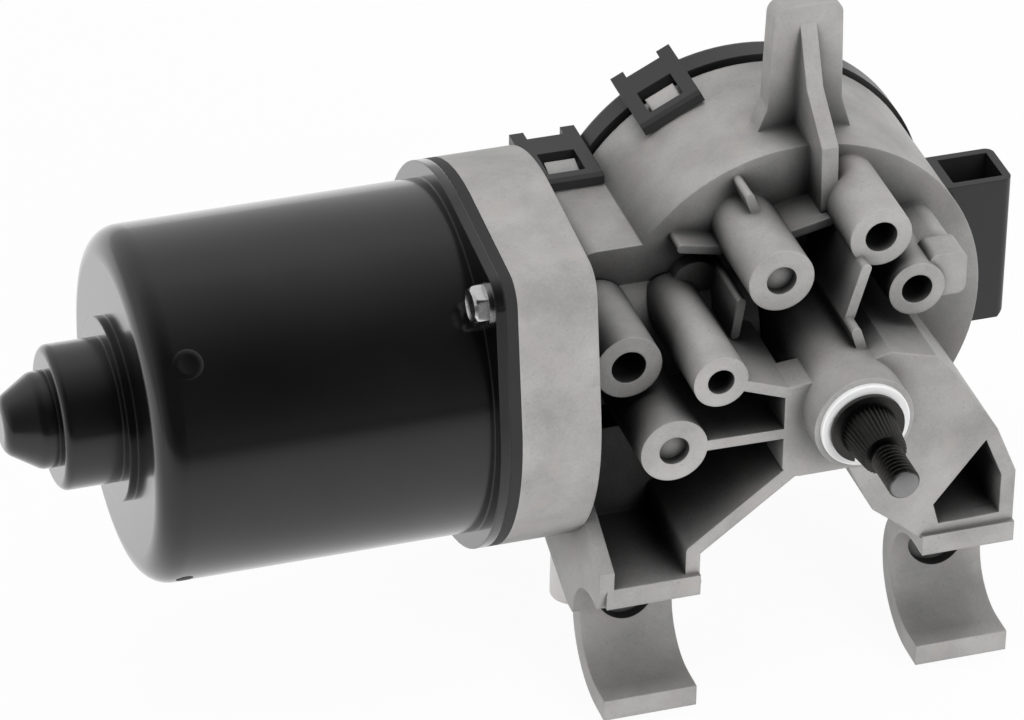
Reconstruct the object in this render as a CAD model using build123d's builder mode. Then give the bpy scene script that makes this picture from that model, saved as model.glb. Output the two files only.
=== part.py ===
from build123d import *
import math
import os

# Wiper motor. X runs along the motor shaft from the can to the gear case, the
# output shaft points to -Y and Z is up. The sizes below count from the point where
# the motor shaft's axis crosses the output shaft's. The finished pieces are moved so
# that the origin lies midway between the two saddle screws, on their counterbores' floor.

# Motor can
can_radius = 31.0
can_wall = 1.6
can_length = 60.0
can_corner = 5.0
joint_x = -61.0
flange_thickness = 1.8
collar_radius = 12.6
collar_length = 10.0
collar_step_radius = 16.0
collar_step = 1.6
nub_radius = 8.4
nub_length = 8.6
nub_round = 2.6

# Flange outline shared by can, gasket and bell
flange_radius = 34.0
lug_radius = 5.2
lug_y = 24.8
lug_z = 26.2
gasket_thickness = 2.0
bell_depth = 14.0
bell_wall = 3.0
bell_floor = 2.5

# Screws of the flange joint
screw_radius = 2.0
screw_head_radius = 3.6
screw_head_height = 3.0
screw_reach = 9.0

# Gear case
case_radius = 34.5
case_wall = 2.4
case_front_y = -5.2
case_back_y = 24.0
front_wall = 2.4
lobe_half = 19.5
lobe_x = -41.5
lobe_corner = 5.0
tube_radius = 13.0
tube_end_x = -9.0
barrel_radius = 8.0
barrel_end_x = -6.0

# Worm drive
gear_module = 1.0
worm_pitch_radius = 4.0
worm_wheel_teeth = 16
pinion_teeth = 10
output_teeth = 36
tooth_rise = 0.72
tooth_fall = 0.95
tooth_share = 0.36
wheel_width = 4.0
wheel_boss = 3.0
worm_turns = 3.5
worm_run_out = 1.6

# Armature
shaft_radius = 4.0
journal_radius = 2.6
core_radius = 22.6
core_length = 34.0
core_gap = 7.0
core_slots = 12
slot_radius = 3.2
slot_neck = 2.4
core_air_gap = 0.7
magnet_length = 42.0
magnet_arc = 126.0
winding_overhang = 6.4
winding_clearance = 0.2
commutator_radius = 9.6
commutator_length = 12.0
commutator_bar_depth = 2.4
commutator_bar_count = 12
commutator_slit = 0.5

# Brush gear
brush_width = 5.0
brush_height = 5.6
brush_length = 7.0
brush_tube_wall = 0.6
brush_tube_length = 12.0
brush_plate_thickness = 2.0
spring_radius = 1.7
spring_wire = 0.3
spring_turns = 3
choke_radius = 2.8
choke_length = 9.0

# Bearings
bush_sphere_radius = 7.4
rear_bush_length = 8.0
spring_plate_thickness = 0.8
worm_bush_radius = 6.0
worm_bush_length = 8.0
end_bush_radius = 4.4
end_bush_length = 3.0
thrust_thickness = 1.0
running_gap = 0.05
seat_gap = 0.02
side_gap = 0.3

# Output train
output_radius = 5.0
thread_radius = 2.9
thread_length = 9.4
taper_length = 7.6
taper_end_radius = 4.1
hub_face_y = -40.6
hub_radius = 9.0
hub_bore = 6.6
hub_bush_length = 9.0
hub_back_radius = 9.4
hub_back_y = 9.0
seal_width = 2.0
washer_radius = 7.2
washer_thickness = 0.9
clip_radius = 6.6
clip_thickness = 0.8
gear_width = 7.4
gear_washer_thickness = 1.2
carrier_radius = 7.5
carrier_flange_radius = 11.0
carrier_flange = 1.6
park_inner = 12.4
park_outer = 16.0
park_thickness = 0.5
idler_pin_radius = 2.0
idler_sleeve_radius = 3.4
pin_boss_radius = 4.2
pin_boss_depth = 4.0

# Casting front
web_y = -34.0
web_wall = 2.6
rib_wall = 2.0
boss_radius = 5.6
boss_hole_radius = 2.9

# Tube saddles
saddle_width = 17.0
saddle_spacing = 58.0
saddle_left_x = -35.0
saddle_radius = 9.8
saddle_wall = 4.0
saddle_y = -30.5
saddle_z = -44.0
saddle_front = 4.5
saddle_hole_radius = 3.2
saddle_hole_rise = 2.4
counterbore_radius = 5.4
counterbore_depth = 1.6

# Post
post_width = 13.6
post_thickness = 4.0
post_top_z = 58.0
post_x = 3.0
post_y = 4.0
post_rib_width = 3.0

# Cover, connector and vent
cover_depth = 5.6
cover_wall = 2.2
cover_overhang = 0.8
latch_width = 12.0
latch_reach = 13.0
latch_tail = 1.6
latch_thickness = 2.0
latch_bar = 2.6
latch_gap = 0.3
latch_angle = 117.0
low_latch_angle = -82.0
lobe_latch_x = -34.6
contact_z = -6.0
contact_pitch = 3.2
seal_thickness = 1.2
seal_inset = 1.2
connector_inset = 3.9
connector_width = 15.9
connector_front_y = 10.0
connector_depth = 11.0
connector_top_z = 11.0
connector_height = 29.0
connector_wall = 1.5
socket_depth = 15.0
pin_count = 4
pin_length = 9.0
pin_thickness = 0.8
pin_width = 2.0
vent_radius = 4.0
vent_bore = 2.2
vent_length = 20.0
vent_x = -36.6
vent_y = 4.0
vent_boss_length = 19.0
vent_spigot = 8.0

# Places worked out from the sizes above
wheel_radius = gear_module * worm_wheel_teeth / 2
pinion_radius = gear_module * pinion_teeth / 2
output_gear_radius = gear_module * output_teeth / 2
idler_z = wheel_radius + worm_pitch_radius
idler_reach = pinion_radius + output_gear_radius
idler_x = -math.sqrt(idler_reach**2 - idler_z**2)
worm_lead = math.pi * gear_module
worm_root_radius = worm_pitch_radius - tooth_fall
worm_outer_radius = worm_pitch_radius + tooth_rise
worm_end_x = idler_x + worm_turns * worm_lead / 2 + worm_run_out
can_end_x = joint_x - can_length
can_inner = can_radius - can_wall
step_x = can_end_x - collar_step
collar_x = step_x - collar_length
nub_x = collar_x - nub_length
bell_x = joint_x + gasket_thickness
bell_end_x = bell_x + bell_depth
bell_inner = flange_radius - bell_wall
case_inner = case_radius - case_wall
case_floor_y = case_front_y + front_wall
worm_bore = worm_outer_radius + 0.5
worm_bush_x = bell_end_x - bell_floor
end_bush_x = worm_end_x + 0.4
end_bush_end_x = end_bush_x + end_bush_length
gear_face_y = hub_back_y + gear_washer_thickness + side_gap
gear_back_y = gear_face_y + gear_width
core_front_x = joint_x - core_gap
core_x = core_front_x - core_length
commutator_x = joint_x - 0.4
commutator_end_x = commutator_x + commutator_length
magnet_outer = can_inner
magnet_inner = core_radius + core_air_gap
washer_y = hub_face_y - washer_thickness
clip_y = washer_y - side_gap - clip_thickness
taper_start_y = clip_y - 0.6
taper_end_y = taper_start_y - taper_length
shaft_tip_y = taper_end_y - thread_length
saddle_right_x = saddle_left_x + saddle_spacing
saddle_outer = saddle_radius + saddle_wall
connector_left_x = case_radius - connector_inset
connector_right_x = connector_left_x + connector_width
datum_x = saddle_left_x + saddle_spacing / 2
datum_y = saddle_y + saddle_radius + counterbore_depth
datum_z = saddle_z + saddle_hole_rise
saddle_roof_z = saddle_z + saddle_outer
cover_front_y = case_back_y + seal_thickness
cover_back_y = cover_front_y + cover_depth
latch_inner = case_radius + latch_gap


def front(y):
    """A sketch plane seen from the output shaft's end: local x is X, local y is Z."""
    return Plane(origin=(0, y, 0), x_dir=(1, 0, 0), z_dir=(0, -1, 0))


def across(x):
    """A sketch plane square to the motor shaft: local x is Y, local y is Z."""
    return Plane(origin=(x, 0, 0), x_dir=(0, 1, 0), z_dir=(1, 0, 0))


def level(z):
    """A sketch plane seen from above."""
    return Plane.XY.offset(z)


def save(piece, name):
    """Move a finished piece to the mounting datum, name it and write its file."""
    piece.part = piece.part.moved(Location((-datum_x, -datum_y, -datum_z)))
    piece.part.label = name
    export_step(piece.part, f"parts/{name}.step")
    solids = piece.part.solids()
    print(name, len(solids), round(sum(s.volume for s in solids), 1))


def flange_outline():
    """The can's flange: a round plate pulled out to two screw lugs."""
    Circle(flange_radius)
    with Locations((-lug_y, lug_z), (lug_y, -lug_z)):
        Circle(lug_radius)
    make_hull()


def case_outline(grow):
    """The gear case seen along the output shaft: a circle with a lobe over the worm."""
    left = lobe_x - grow
    with Locations((left / 2, 0)):
        RectangleRounded(-left, 2 * (lobe_half + grow), lobe_corner + grow)
    Circle(case_radius + grow)


def gear_outline(teeth, turn, rise, fall, share):
    """Straight-flanked teeth round a root circle, the first one at the angle turn."""
    pitch_radius = gear_module * teeth / 2
    root = pitch_radius - fall
    tip = pitch_radius + rise
    half = share * 180 / teeth
    lean = math.degrees(math.tan(math.radians(20)) / pitch_radius)
    points = []
    for tooth in range(teeth):
        middle = turn + tooth * 360 / teeth
        for radius, spread in (
            (root, -(half + fall * lean)),
            (tip, -(half - rise * lean)),
            (tip, half - rise * lean),
            (root, half + fall * lean),
        ):
            angle = math.radians(middle + spread)
            points.append((radius * math.cos(angle), radius * math.sin(angle)))
    Polygon(*points, align=None)


def boss(x, z, face_y, base_y, radius):
    """A round boss that stands towards the viewer from base_y to face_y."""
    with BuildSketch(front(base_y)) as ring:
        with Locations((x, z)):
            Circle(radius)
    extrude(ring.sketch, amount=base_y - face_y)


def bore(x, z, face_y, depth, radius):
    """A round hole sunk from face_y away from the viewer."""
    with BuildSketch(front(face_y)) as ring:
        with Locations((x, z)):
            Circle(radius)
    extrude(ring.sketch, amount=-depth, mode=Mode.SUBTRACT)


def wall(start, end, thickness, face_y, base_y):
    """A straight upright wall between two (X, Z) points, with rounded ends."""
    run_x = end[0] - start[0]
    run_z = end[1] - start[1]
    middle = ((start[0] + end[0]) / 2, (start[1] + end[1]) / 2)
    with BuildSketch(front(base_y)) as rib:
        with Locations(Location(middle, math.degrees(math.atan2(run_z, run_x)))):
            SlotCenterToCenter(math.hypot(run_x, run_z), thickness)
    extrude(rib.sketch, amount=base_y - face_y)


def revolved(points, axis):
    """A solid of revolution from a closed outline in the X-Y plane."""
    with BuildSketch(Plane.XY) as profile:
        with BuildLine():
            Polyline(*points, close=True)
        make_face()
    revolve(profile.sketch, axis=axis)


def make_motor_can():
    """Drawn can: flange at the gear end, bearing collar and nub at the other."""
    outer = [
        (joint_x, 0),
        (joint_x, can_radius),
        (can_end_x, can_radius),
        (can_end_x, collar_step_radius),
        (step_x, collar_step_radius),
        (step_x, collar_radius),
        (collar_x, collar_radius),
        (collar_x, nub_radius),
        (collar_x - 0.3 * nub_length, nub_radius),
        (nub_x, 0.55 * nub_radius),
        (nub_x, 0),
    ]
    with BuildPart() as can:
        revolved(outer, Axis.X)
        end_edges = can.edges().filter_by(GeomType.CIRCLE)
        rim = [e for e in end_edges if abs(e.radius - can_radius) < 0.01 and e.center().X < can_end_x + 0.1]
        fillet(rim, radius=can_corner)
        tip = [e for e in can.edges().filter_by(GeomType.CIRCLE) if e.center().X < collar_x - 0.1]
        fillet(tip, radius=nub_round)
        shoulder = [
            e
            for e in can.edges().filter_by(GeomType.CIRCLE)
            if abs(e.center().X - collar_x) < 0.01 and abs(e.radius - collar_radius) < 0.01
        ]
        fillet(shoulder, radius=1.4)
        with BuildSketch(across(joint_x - flange_thickness)):
            flange_outline()
        extrude(amount=flange_thickness)
        with BuildSketch(across(joint_x)):
            Circle(can_inner)
        extrude(amount=-(can_length - can_wall), mode=Mode.SUBTRACT)
        with BuildSketch(across(can_end_x + can_wall)):
            Circle(collar_radius - can_wall)
        extrude(amount=-(can_wall + collar_step + collar_length - can_wall), mode=Mode.SUBTRACT)
        with BuildSketch(across(collar_x + can_wall)):
            Circle(nub_radius - can_wall)
        extrude(amount=-(nub_length * 0.62), mode=Mode.SUBTRACT, taper=8)
        with BuildSketch(across(joint_x)):
            with Locations((-lug_y, lug_z), (lug_y, -lug_z)):
                Circle(screw_radius + side_gap)
        extrude(amount=-flange_thickness, mode=Mode.SUBTRACT)
    return can


def make_flange_gasket():
    """Flat gasket of the flange's outline between can and casting."""
    with BuildPart() as gasket:
        with BuildSketch(across(joint_x)):
            flange_outline()
            Circle(bell_inner, mode=Mode.SUBTRACT)
            with Locations((-lug_y, lug_z), (lug_y, -lug_z)):
                Circle(screw_radius + side_gap, mode=Mode.SUBTRACT)
        extrude(amount=gasket_thickness)
    return gasket


def make_flange_screws():
    """Two hexagon screws through the can's flange into the bell."""
    head_x = joint_x - flange_thickness
    with BuildPart() as screws:
        with BuildSketch(across(head_x)):
            with Locations((-lug_y, lug_z), (lug_y, -lug_z)):
                RegularPolygon(screw_head_radius, 6)
        extrude(amount=-screw_head_height)
        with BuildSketch(across(head_x)):
            with Locations((-lug_y, lug_z), (lug_y, -lug_z)):
                Circle(screw_radius)
        extrude(amount=flange_thickness + gasket_thickness + screw_reach)
    return screws


def make_rear_bush():
    """Bronze bush with a ball outside, which tilts to line up with the shaft."""
    centre_x = bush_centre_x()
    with BuildPart() as bush:
        with Locations((centre_x, 0, 0)):
            Sphere(bush_sphere_radius)
        with BuildSketch(across(centre_x - 2 * bush_sphere_radius)):
            Circle(2 * bush_sphere_radius)
        extrude(amount=2 * bush_sphere_radius - rear_bush_length / 2, mode=Mode.SUBTRACT)
        with BuildSketch(across(centre_x + rear_bush_length / 2)):
            Circle(2 * bush_sphere_radius)
        extrude(amount=2 * bush_sphere_radius, mode=Mode.SUBTRACT)
        with BuildSketch(across(centre_x - bush_sphere_radius)):
            Circle(shaft_radius + running_gap)
        extrude(amount=2 * bush_sphere_radius, mode=Mode.SUBTRACT)
    return bush


def bush_centre_x():
    """Where the ball of the rear bush rests on the mouth of the nub."""
    mouth = nub_radius - can_wall
    return collar_x + can_wall + math.sqrt(bush_sphere_radius**2 - mouth**2) + seat_gap


def make_bush_spring_plate():
    """Spring plate with radial slots that holds the rear bush in its collar."""
    plate_radius = collar_radius - can_wall - seat_gap
    hole = bush_sphere_radius - 0.8
    reach = math.sqrt(bush_sphere_radius**2 - hole**2)
    plate_x = bush_centre_x() + reach + seat_gap
    with BuildPart() as plate:
        with BuildSketch(across(plate_x)):
            Circle(plate_radius)
            Circle(hole, mode=Mode.SUBTRACT)
            with PolarLocations((hole + plate_radius) / 2 - 1.2, 6):
                Rectangle(plate_radius - hole, 1.2, mode=Mode.SUBTRACT)
        extrude(amount=spring_plate_thickness)
    return plate


def make_magnets():
    """Two arc magnets against the can's wall, above and below the shaft."""
    start_x = core_x + (core_length - magnet_length) / 2
    with BuildPart() as magnets:
        with BuildSketch(across(start_x)):
            Circle(magnet_outer - seat_gap)
            Circle(magnet_inner, mode=Mode.SUBTRACT)
            for middle in (0, 180):
                with BuildLine():
                    half = math.radians(90 - magnet_arc / 2)
                    far = 2 * can_radius
                    a = math.radians(middle)
                    Polyline(
                        (0, 0),
                        (far * math.cos(a - half), far * math.sin(a - half)),
                        (1.5 * far * math.cos(a), 1.5 * far * math.sin(a)),
                        (far * math.cos(a + half), far * math.sin(a + half)),
                        close=True,
                    )
                make_face(mode=Mode.SUBTRACT)
        extrude(amount=magnet_length)
    return magnets


def make_armature_core():
    """Stack of laminations with twelve slots for the windings."""
    slot_middle = core_radius - slot_radius - 2.2
    with BuildPart() as core:
        with BuildSketch(across(core_x)):
            Circle(core_radius)
            Circle(shaft_radius + seat_gap, mode=Mode.SUBTRACT)
            with PolarLocations(slot_middle, core_slots):
                Circle(slot_radius, mode=Mode.SUBTRACT)
            with PolarLocations(core_radius - 1, core_slots):
                Rectangle(5, slot_neck, mode=Mode.SUBTRACT)
        extrude(amount=core_length)
    return core


def make_armature_windings():
    """Copper in the slots, joined by the end turns on both faces of the core."""
    slot_middle = core_radius - slot_radius - 2.2
    bundle = slot_radius - winding_clearance
    with BuildPart() as windings:
        with BuildSketch(across(core_x)):
            with PolarLocations(slot_middle, core_slots):
                Circle(bundle)
        extrude(amount=core_length)
        for face_x, reach in ((core_x, -winding_overhang), (core_front_x, winding_overhang)):
            with BuildSketch(across(face_x)):
                Circle(slot_middle + bundle - 0.5)
                Circle(shaft_radius + 2.0, mode=Mode.SUBTRACT)
            extrude(amount=reach, taper=14)
    return windings


def make_armature_shaft():
    """Steel shaft that ends in the worm: a root cylinder and a helical thread."""
    points = [
        (collar_x - nub_length * 0.3, 0),
        (collar_x - nub_length * 0.3, shaft_radius),
        (worm_bush_x + worm_bush_length + 1.0, shaft_radius),
        (worm_bush_x + worm_bush_length + 2.0, worm_root_radius),
        (worm_end_x, worm_root_radius),
        (worm_end_x, journal_radius),
        (end_bush_end_x, journal_radius),
        (end_bush_end_x, 0),
    ]
    with BuildPart() as shaft:
        revolved(points, Axis.X)
        add(worm_thread())
    return shaft


def worm_thread():
    """One helical thread, wound along the motor shaft through the middle of the wheel."""
    root = worm_root_radius - 0.3
    rise = worm_outer_radius - root
    half = tooth_half_width()
    lean = math.tan(math.radians(20))
    foot = half + (worm_pitch_radius - root) * lean
    tip = half - tooth_rise * lean
    with BuildPart() as thread:
        with BuildLine() as path:
            Helix(pitch=worm_lead, height=worm_turns * worm_lead, radius=root)
        with BuildSketch(Plane(origin=path.line @ 0, x_dir=(1, 0, 0), z_dir=path.line % 0)):
            Polygon((0, -foot), (rise, -tip), (rise, tip), (0, foot), align=None)
        sweep(path=path.line, is_frenet=True)
    start_x = idler_x - worm_turns * worm_lead / 2
    half_wind = math.pi * worm_turns
    start_dir = (0, math.sin(half_wind), math.cos(half_wind))
    return thread.part.moved(Plane(origin=(start_x, 0, 0), x_dir=start_dir, z_dir=(1, 0, 0)).location)


def tooth_half_width():
    """Half the width of a tooth at the pitch line."""
    return tooth_share * worm_lead / 2


def make_commutator_hub():
    """Moulded insulating sleeve that carries the copper bars."""
    with BuildPart() as hub:
        with BuildSketch(across(commutator_x)):
            Circle(commutator_radius - commutator_bar_depth - seat_gap)
            Circle(shaft_radius + seat_gap, mode=Mode.SUBTRACT)
        extrude(amount=commutator_length)
    return hub


def make_commutator_bars():
    """Ring of copper bars parted by narrow slits."""
    with BuildPart() as bars:
        with BuildSketch(across(commutator_x)):
            Circle(commutator_radius)
            Circle(commutator_radius - commutator_bar_depth, mode=Mode.SUBTRACT)
            with PolarLocations(commutator_radius - commutator_bar_depth / 2, commutator_bar_count):
                Rectangle(2 * commutator_bar_depth, commutator_slit, mode=Mode.SUBTRACT)
        extrude(amount=commutator_length)
    return bars


def brush_ways():
    """The two directions, in degrees round the motor shaft, in which a brush lies."""
    return (15, 195)


def brush_middle_x():
    """Middle of the brushes along the shaft."""
    return bell_x + brush_plate_thickness + brush_tube_wall + brush_height / 2


def brush_plane(way):
    """A plane on the shaft at the brushes, whose normal is the brush's direction."""
    a = math.radians(way)
    return Plane(
        origin=(brush_middle_x(), 0, 0), x_dir=(1, 0, 0), z_dir=(0, math.cos(a), math.sin(a))
    )


def make_brush_plate():
    """Round insulating plate in the bell's mouth that carries the brush gear."""
    with BuildPart() as plate:
        with BuildSketch(across(bell_x)):
            Circle(bell_inner - seat_gap)
            Circle(commutator_radius + 2.0, mode=Mode.SUBTRACT)
            with PolarLocations(bell_inner - 7.0, 2, start_angle=60):
                SlotOverall(12, 5, rotation=90, mode=Mode.SUBTRACT)
        extrude(amount=brush_plate_thickness)
    return plate


def make_brush_tubes():
    """Two folded brass tubes that guide the brushes."""
    across_width = brush_width + 2 * brush_tube_wall + 2 * seat_gap
    along_height = brush_height + 2 * brush_tube_wall
    inner_end = commutator_radius + 2.6
    with BuildPart() as tubes:
        for way in brush_ways():
            with BuildSketch(brush_plane(way).offset(inner_end)):
                Rectangle(along_height, across_width)
                Rectangle(brush_height + 2 * seat_gap, brush_width + 2 * seat_gap, mode=Mode.SUBTRACT)
            extrude(amount=brush_tube_length)
            with BuildSketch(brush_plane(way).offset(inner_end + brush_tube_length)):
                Rectangle(along_height, across_width)
            extrude(amount=brush_tube_wall)
    return tubes


def make_carbon_brushes():
    """Two carbon blocks whose inner faces are hollowed to the commutator."""
    with BuildPart() as brushes:
        for way in brush_ways():
            with BuildSketch(brush_plane(way).offset(commutator_radius - 1.0)):
                Rectangle(brush_height, brush_width)
            extrude(amount=brush_length + 1.0)
        with BuildSketch(across(commutator_x)):
            Circle(commutator_radius + side_gap)
        extrude(amount=commutator_length + bell_depth, mode=Mode.SUBTRACT)
    return brushes


def make_brush_springs():
    """Coil springs that press the brushes on the commutator."""
    start = commutator_radius + brush_length + spring_wire + seat_gap
    end = commutator_radius + 2.6 + brush_tube_length - spring_wire - seat_gap
    with BuildPart() as coil:
        with BuildLine() as path:
            Helix(pitch=(end - start) / spring_turns, height=end - start, radius=spring_radius)
        with BuildSketch(Plane(origin=path.line @ 0, z_dir=path.line % 0)):
            RegularPolygon(spring_wire, 4)
        sweep(path=path.line, is_frenet=True)
    with BuildPart() as springs:
        for way in brush_ways():
            add(coil.part.moved(brush_plane(way).offset(start).location))
    return springs


def make_choke_coils():
    """Two wound suppression coils on ferrite rods, lying on the brush plate."""
    rest_x = bell_x + brush_plate_thickness + choke_radius
    with BuildPart() as coils:
        for way in (105, 285):
            a = math.radians(way)
            place = (rest_x, 19.0 * math.cos(a), 19.0 * math.sin(a))
            along = (0, -math.sin(a), math.cos(a))
            with BuildSketch(Plane(origin=place, z_dir=along)):
                Circle(choke_radius)
            extrude(amount=choke_length / 2, both=True)
            with BuildSketch(Plane(origin=place, z_dir=along)):
                Circle(choke_radius * 0.5)
            extrude(amount=choke_length / 2 + 2, both=True)
    return coils


def make_worm_bush():
    """Flanged bronze bush at the bell's floor that carries the shaft behind the worm."""
    with BuildPart() as bush:
        with BuildSketch(across(worm_bush_x)):
            Circle(worm_bush_radius - seat_gap)
            Circle(shaft_radius + running_gap, mode=Mode.SUBTRACT)
        extrude(amount=worm_bush_length)
    return bush


def make_end_bush():
    """Small bush at the free end of the worm."""
    with BuildPart() as bush:
        with BuildSketch(across(end_bush_x)):
            Circle(end_bush_radius - seat_gap)
            Circle(journal_radius + running_gap, mode=Mode.SUBTRACT)
        extrude(amount=end_bush_length)
    return bush


def make_thrust_button():
    """Hard button in the housing that takes the end thrust of the worm."""
    with BuildPart() as button:
        with BuildSketch(across(end_bush_end_x + side_gap)):
            Circle(end_bush_radius - seat_gap)
        extrude(amount=thrust_thickness)
    return button


def make_worm_wheel():
    """Plastic wheel with helical teeth that the worm drives, and its boss."""
    lead_angle = math.atan(worm_lead / (2 * math.pi * worm_pitch_radius))
    skew = math.degrees(math.tan(lead_angle) * wheel_width / 2 / wheel_radius)
    first = 270 + 180 / worm_wheel_teeth
    with BuildPart() as wheel:
        with BuildSketch(front(wheel_width / 2)) as rear:
            gear_outline(worm_wheel_teeth, first - skew, tooth_rise, tooth_fall, tooth_share)
        with BuildSketch(front(-wheel_width / 2)) as fore:
            gear_outline(worm_wheel_teeth, first + skew, tooth_rise, tooth_fall, tooth_share)
        loft(ruled=True)
        with BuildSketch(front(wheel_width / 2 + wheel_boss)):
            Circle(idler_sleeve_radius + 2.0)
        extrude(amount=wheel_boss)
        with BuildSketch(front(wheel_width)):
            Circle(idler_sleeve_radius + seat_gap)
        extrude(amount=2 * wheel_width, both=True, mode=Mode.SUBTRACT)
    wheel.part.locate(Location((idler_x, 0, idler_z)))
    return wheel


def make_idler_pinion():
    """Steel sleeve with the pinion's teeth at the end that meets the output gear."""
    low_y = -wheel_width / 2
    with BuildPart() as pinion:
        with BuildSketch(front(gear_back_y)):
            gear_outline(pinion_teeth, pinion_turn(), tooth_rise, tooth_fall, tooth_share)
        extrude(amount=gear_width - side_gap)
        with BuildSketch(front(gear_back_y)):
            Circle(idler_sleeve_radius)
        extrude(amount=gear_back_y - low_y)
        with BuildSketch(front(gear_back_y)):
            Circle(idler_pin_radius + running_gap)
        extrude(amount=gear_back_y - low_y, mode=Mode.SUBTRACT)
    pinion.part.locate(Location((idler_x, 0, idler_z)))
    return pinion


def mesh_angle():
    """Direction from the output shaft to the idler, in the sketch planes of front()."""
    return math.degrees(math.atan2(idler_z, idler_x))


def pinion_turn():
    """A pinion tooth points straight at the output shaft."""
    return mesh_angle() + 180


def make_idler_pin():
    """Fixed pin from the case's front wall to the cover."""
    start_y = case_floor_y - pin_boss_depth
    with BuildPart() as pin:
        with BuildSketch(front(start_y)):
            with Locations((idler_x, idler_z)):
                Circle(idler_pin_radius)
        extrude(amount=-(pin_end_y() - start_y))
    return pin


def pin_end_y():
    """Rear end of the idler pin, inside the cover's boss."""
    return cover_back_y - cover_wall - 0.6


def make_output_gear():
    """Large plastic gear on the steel carrier of the output shaft."""
    turn = mesh_angle() + 180 / output_teeth
    with BuildPart() as gear:
        with BuildSketch(front(gear_back_y)):
            gear_outline(output_teeth, turn, tooth_rise, tooth_fall, tooth_share)
            Circle(carrier_radius + seat_gap, mode=Mode.SUBTRACT)
        extrude(amount=gear_width)
        with BuildSketch(front(gear_face_y)):
            Circle(output_gear_radius - 3.6)
            Circle(carrier_radius + 2.4, mode=Mode.SUBTRACT)
            with PolarLocations((output_gear_radius + carrier_radius) / 2 - 0.6, 6):
                Rectangle(9, 1.8, mode=Mode.SUBTRACT)
        extrude(amount=-gear_width * 0.45, mode=Mode.SUBTRACT)
    return gear


def make_gear_carrier():
    """Steel collar pressed on the shaft, with the flange that backs the gear."""
    with BuildPart() as carrier:
        with BuildSketch(front(gear_back_y)):
            Circle(carrier_radius)
        extrude(amount=gear_width)
        with BuildSketch(front(gear_back_y + carrier_flange)):
            Circle(carrier_flange_radius)
        extrude(amount=carrier_flange)
        with BuildSketch(front(gear_back_y + carrier_flange)):
            Circle(output_radius + seat_gap)
        extrude(amount=carrier_flange + gear_width, mode=Mode.SUBTRACT)
    return carrier


def make_park_disc():
    """Contact ring on the gear's back, with the gap that parks the wipers."""
    with BuildPart() as disc:
        with BuildSketch(front(gear_back_y + park_thickness)):
            Circle(park_outer)
            Circle(park_inner, mode=Mode.SUBTRACT)
            with Locations(((park_inner + park_outer) / 2 + 1.4, 0)):
                Rectangle(park_outer - park_inner, 5, mode=Mode.SUBTRACT)
        extrude(amount=park_thickness)
    return disc


def make_output_shaft():
    """Steel shaft: plain journal, splined taper and threaded end."""
    points = [
        (0, shaft_tip_y),
        (thread_radius - 0.5, shaft_tip_y),
        (thread_radius, shaft_tip_y + 0.5),
        (thread_radius, taper_end_y),
        (taper_end_radius, taper_end_y),
        (output_radius, taper_start_y),
        (output_radius, clip_y),
        (output_radius - 0.5, clip_y),
        (output_radius - 0.5, clip_y + clip_thickness),
        (output_radius, clip_y + clip_thickness),
        (output_radius, gear_back_y + carrier_flange + 0.8),
        (0, gear_back_y + carrier_flange + 0.8),
    ]
    with BuildPart() as shaft:
        revolved(points, Axis.Y)
        serrations = 18
        with BuildSketch(front(taper_end_y)):
            with PolarLocations(output_radius + 0.25, serrations):
                Rectangle(1.1, 0.7, rotation=45)
        extrude(amount=-taper_length, mode=Mode.SUBTRACT)
    return shaft


def make_shaft_clip():
    """Spring clip in the shaft's groove in front of the washer."""
    with BuildPart() as clip:
        with BuildSketch(front(clip_y + clip_thickness - seat_gap)):
            Circle(clip_radius)
            Circle(output_radius - 0.5 + seat_gap, mode=Mode.SUBTRACT)
            with Locations((0, -clip_radius)):
                Rectangle(4.4, clip_radius, mode=Mode.SUBTRACT)
        extrude(amount=clip_thickness - 2 * seat_gap)
    return clip


def make_shaft_washer():
    """Bright washer on the hub's face."""
    with BuildPart() as washer:
        with BuildSketch(front(hub_face_y)):
            Circle(washer_radius)
            Circle(output_radius + side_gap, mode=Mode.SUBTRACT)
        extrude(amount=washer_thickness)
    return washer


def make_gear_washer():
    """Thrust washer between the hub's back end and the gear."""
    with BuildPart() as washer:
        with BuildSketch(front(hub_back_y + gear_washer_thickness)):
            Circle(carrier_radius)
            Circle(output_radius + side_gap, mode=Mode.SUBTRACT)
        extrude(amount=gear_washer_thickness)
    return washer


def make_shaft_bushes():
    """Two sintered bushes at the ends of the hub."""
    with BuildPart() as bushes:
        with BuildSketch(front(hub_face_y + hub_bush_length)):
            Circle(hub_bore - seat_gap)
            Circle(output_radius + running_gap, mode=Mode.SUBTRACT)
        extrude(amount=hub_bush_length)
        with BuildSketch(front(hub_back_y)):
            Circle(hub_bore - seat_gap)
            Circle(output_radius + running_gap, mode=Mode.SUBTRACT)
        extrude(amount=hub_bush_length)
    return bushes


def make_shaft_seal():
    """Rubber ring behind the front bush."""
    with BuildPart() as seal:
        with BuildSketch(front(hub_face_y + hub_bush_length + seal_width)):
            Circle(hub_bore - seat_gap)
            Circle(output_radius + running_gap, mode=Mode.SUBTRACT)
        extrude(amount=seal_width)
    return seal


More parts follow.
